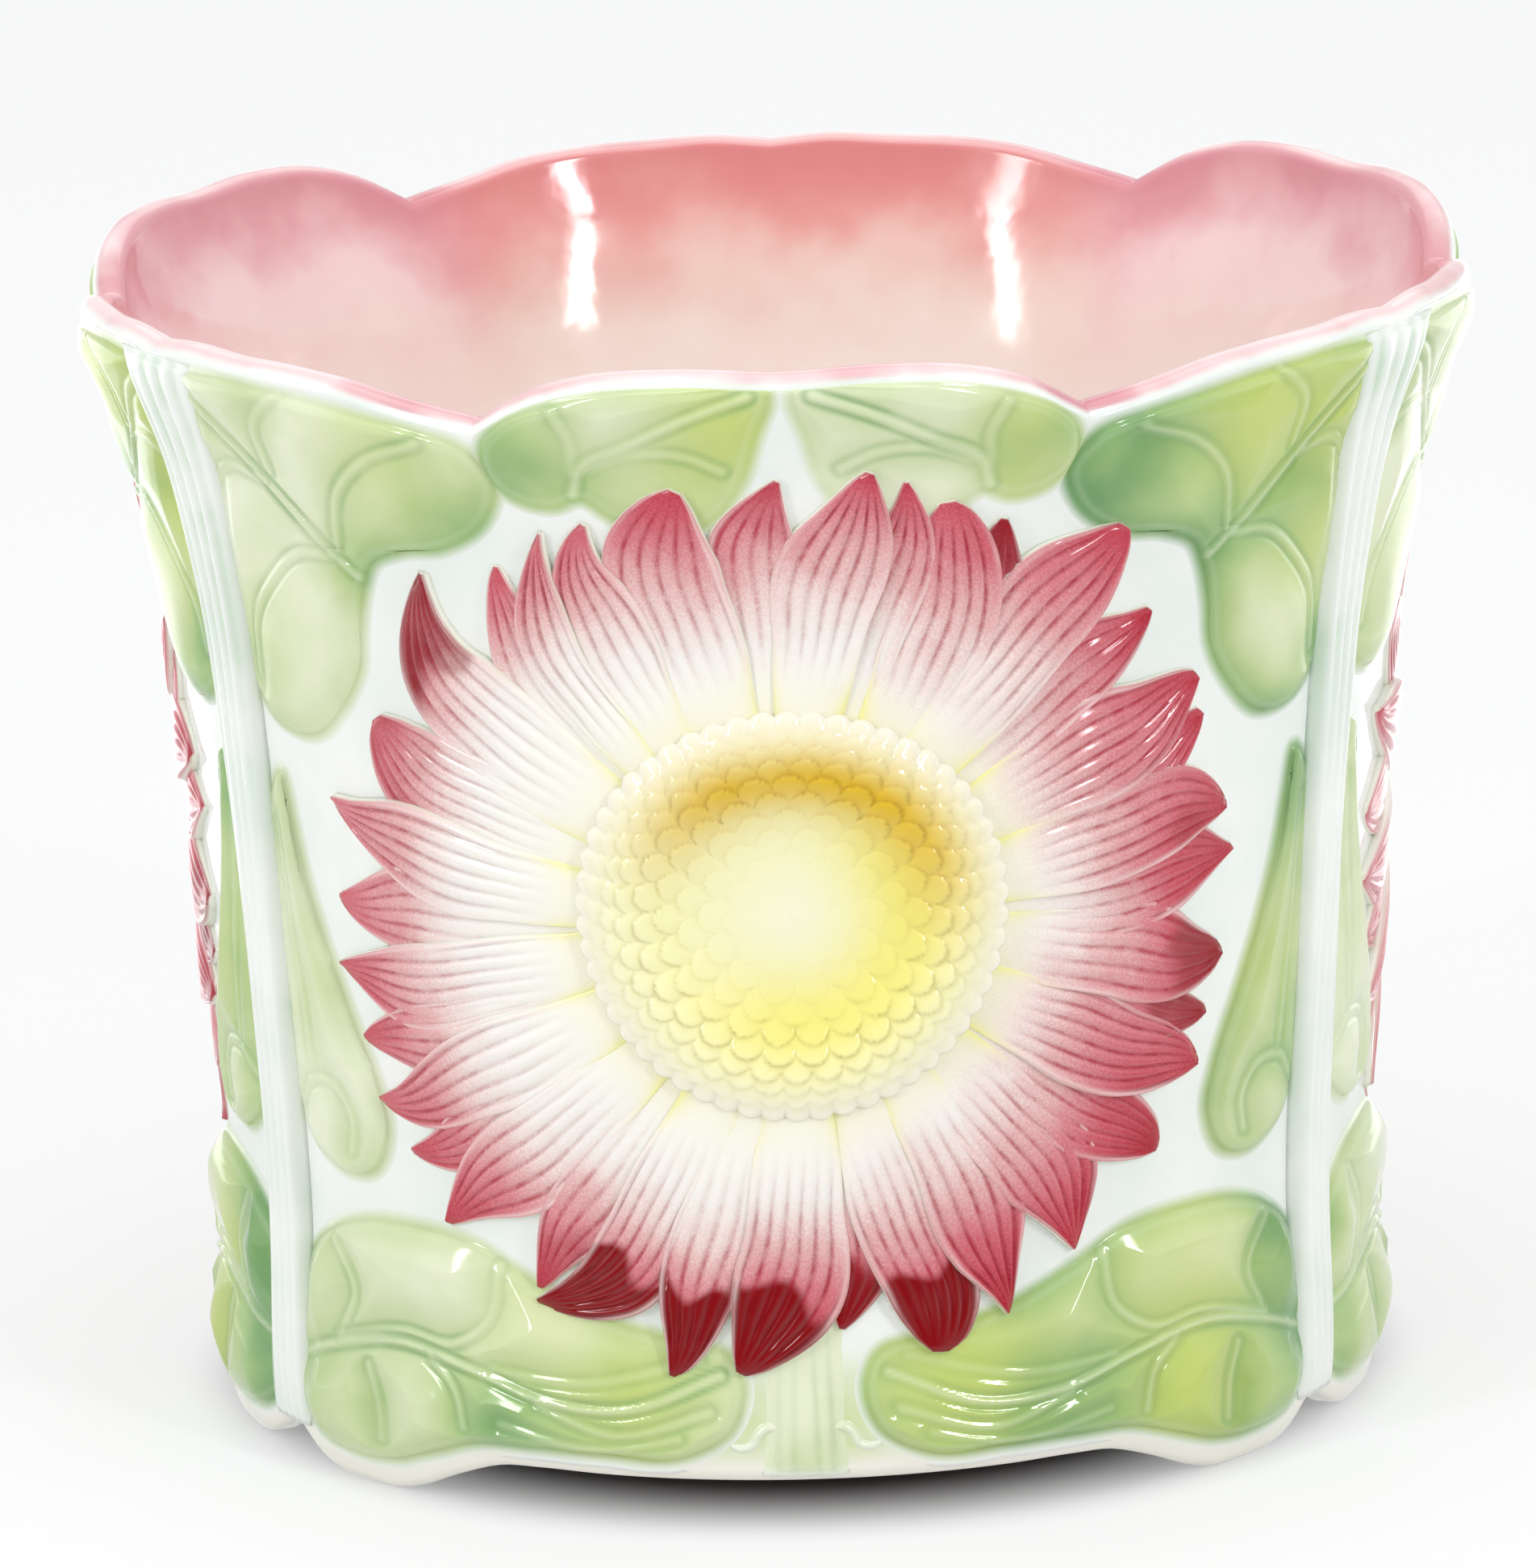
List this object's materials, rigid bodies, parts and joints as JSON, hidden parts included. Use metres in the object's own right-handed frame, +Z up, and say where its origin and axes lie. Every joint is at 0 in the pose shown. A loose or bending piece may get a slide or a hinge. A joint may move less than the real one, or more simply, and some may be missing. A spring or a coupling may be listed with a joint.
{
  "type": "ceramic cachepot",
  "caption": "Round flared ceramic cachepot with a lobed rim, corner pillars and a daisy-and-leaf relief on each face; holds a potted plant.",
  "frame": {"origin": "on the pot's axis, in the plane of the foot pads", "axes": "+Z up along the pot's axis, -Y out of the middle of the front face, +X to its right"},
  "size_m": [0.2394, 0.2402, 0.198],
  "materials": {
    "white_glaze": "gloss glaze, bluish white",
    "pink_glaze": "gloss glaze, pink",
    "crimson_glaze": "gloss glaze, crimson to white",
    "yellow_glaze": "gloss glaze, yellow to amber",
    "green_glaze": "gloss glaze, yellow-green to blue-green"
  },
  "bodies": {
    "root": {"floor_slab": "pink_glaze", "front_wall_panel": "white_glaze", "front_flower_disc": "yellow_glaze", "front_under_petals": "crimson_glaze", "front_upper_petals": "crimson_glaze", "front_stem": "green_glaze", "front_corner_leaf_right": "green_glaze", "front_crown_leaf_right": "green_glaze", "front_pod_right": "green_glaze", "front_foot_leaf_right": "green_glaze", "front_corner_leaf_left": "green_glaze", "front_crown_leaf_left": "green_glaze", "front_pod_left": "green_glaze", "front_foot_leaf_left": "green_glaze", "right_wall_panel": "white_glaze", "right_flower_disc": "yellow_glaze", "right_under_petals": "crimson_glaze", "right_upper_petals": "crimson_glaze", "right_stem": "green_glaze", "right_corner_leaf_right": "green_glaze", "right_crown_leaf_right": "green_glaze", "right_pod_right": "green_glaze", "right_foot_leaf_right": "green_glaze", "right_corner_leaf_left": "green_glaze", "right_crown_leaf_left": "green_glaze", "right_pod_left": "green_glaze", "right_foot_leaf_left": "green_glaze", "left_wall_panel": "white_glaze", "left_flower_disc": "yellow_glaze", "left_under_petals": "crimson_glaze", "left_upper_petals": "crimson_glaze", "left_stem": "green_glaze", "left_corner_leaf_right": "green_glaze", "left_crown_leaf_right": "green_glaze", "left_pod_right": "green_glaze", "left_foot_leaf_right": "green_glaze", "left_corner_leaf_left": "green_glaze", "left_crown_leaf_left": "green_glaze", "left_pod_left": "green_glaze", "left_foot_leaf_left": "green_glaze", "pillar_front_right": "white_glaze", "pillar_back": "white_glaze", "pillar_front_left": "white_glaze"}
  },
  "joints": []
}
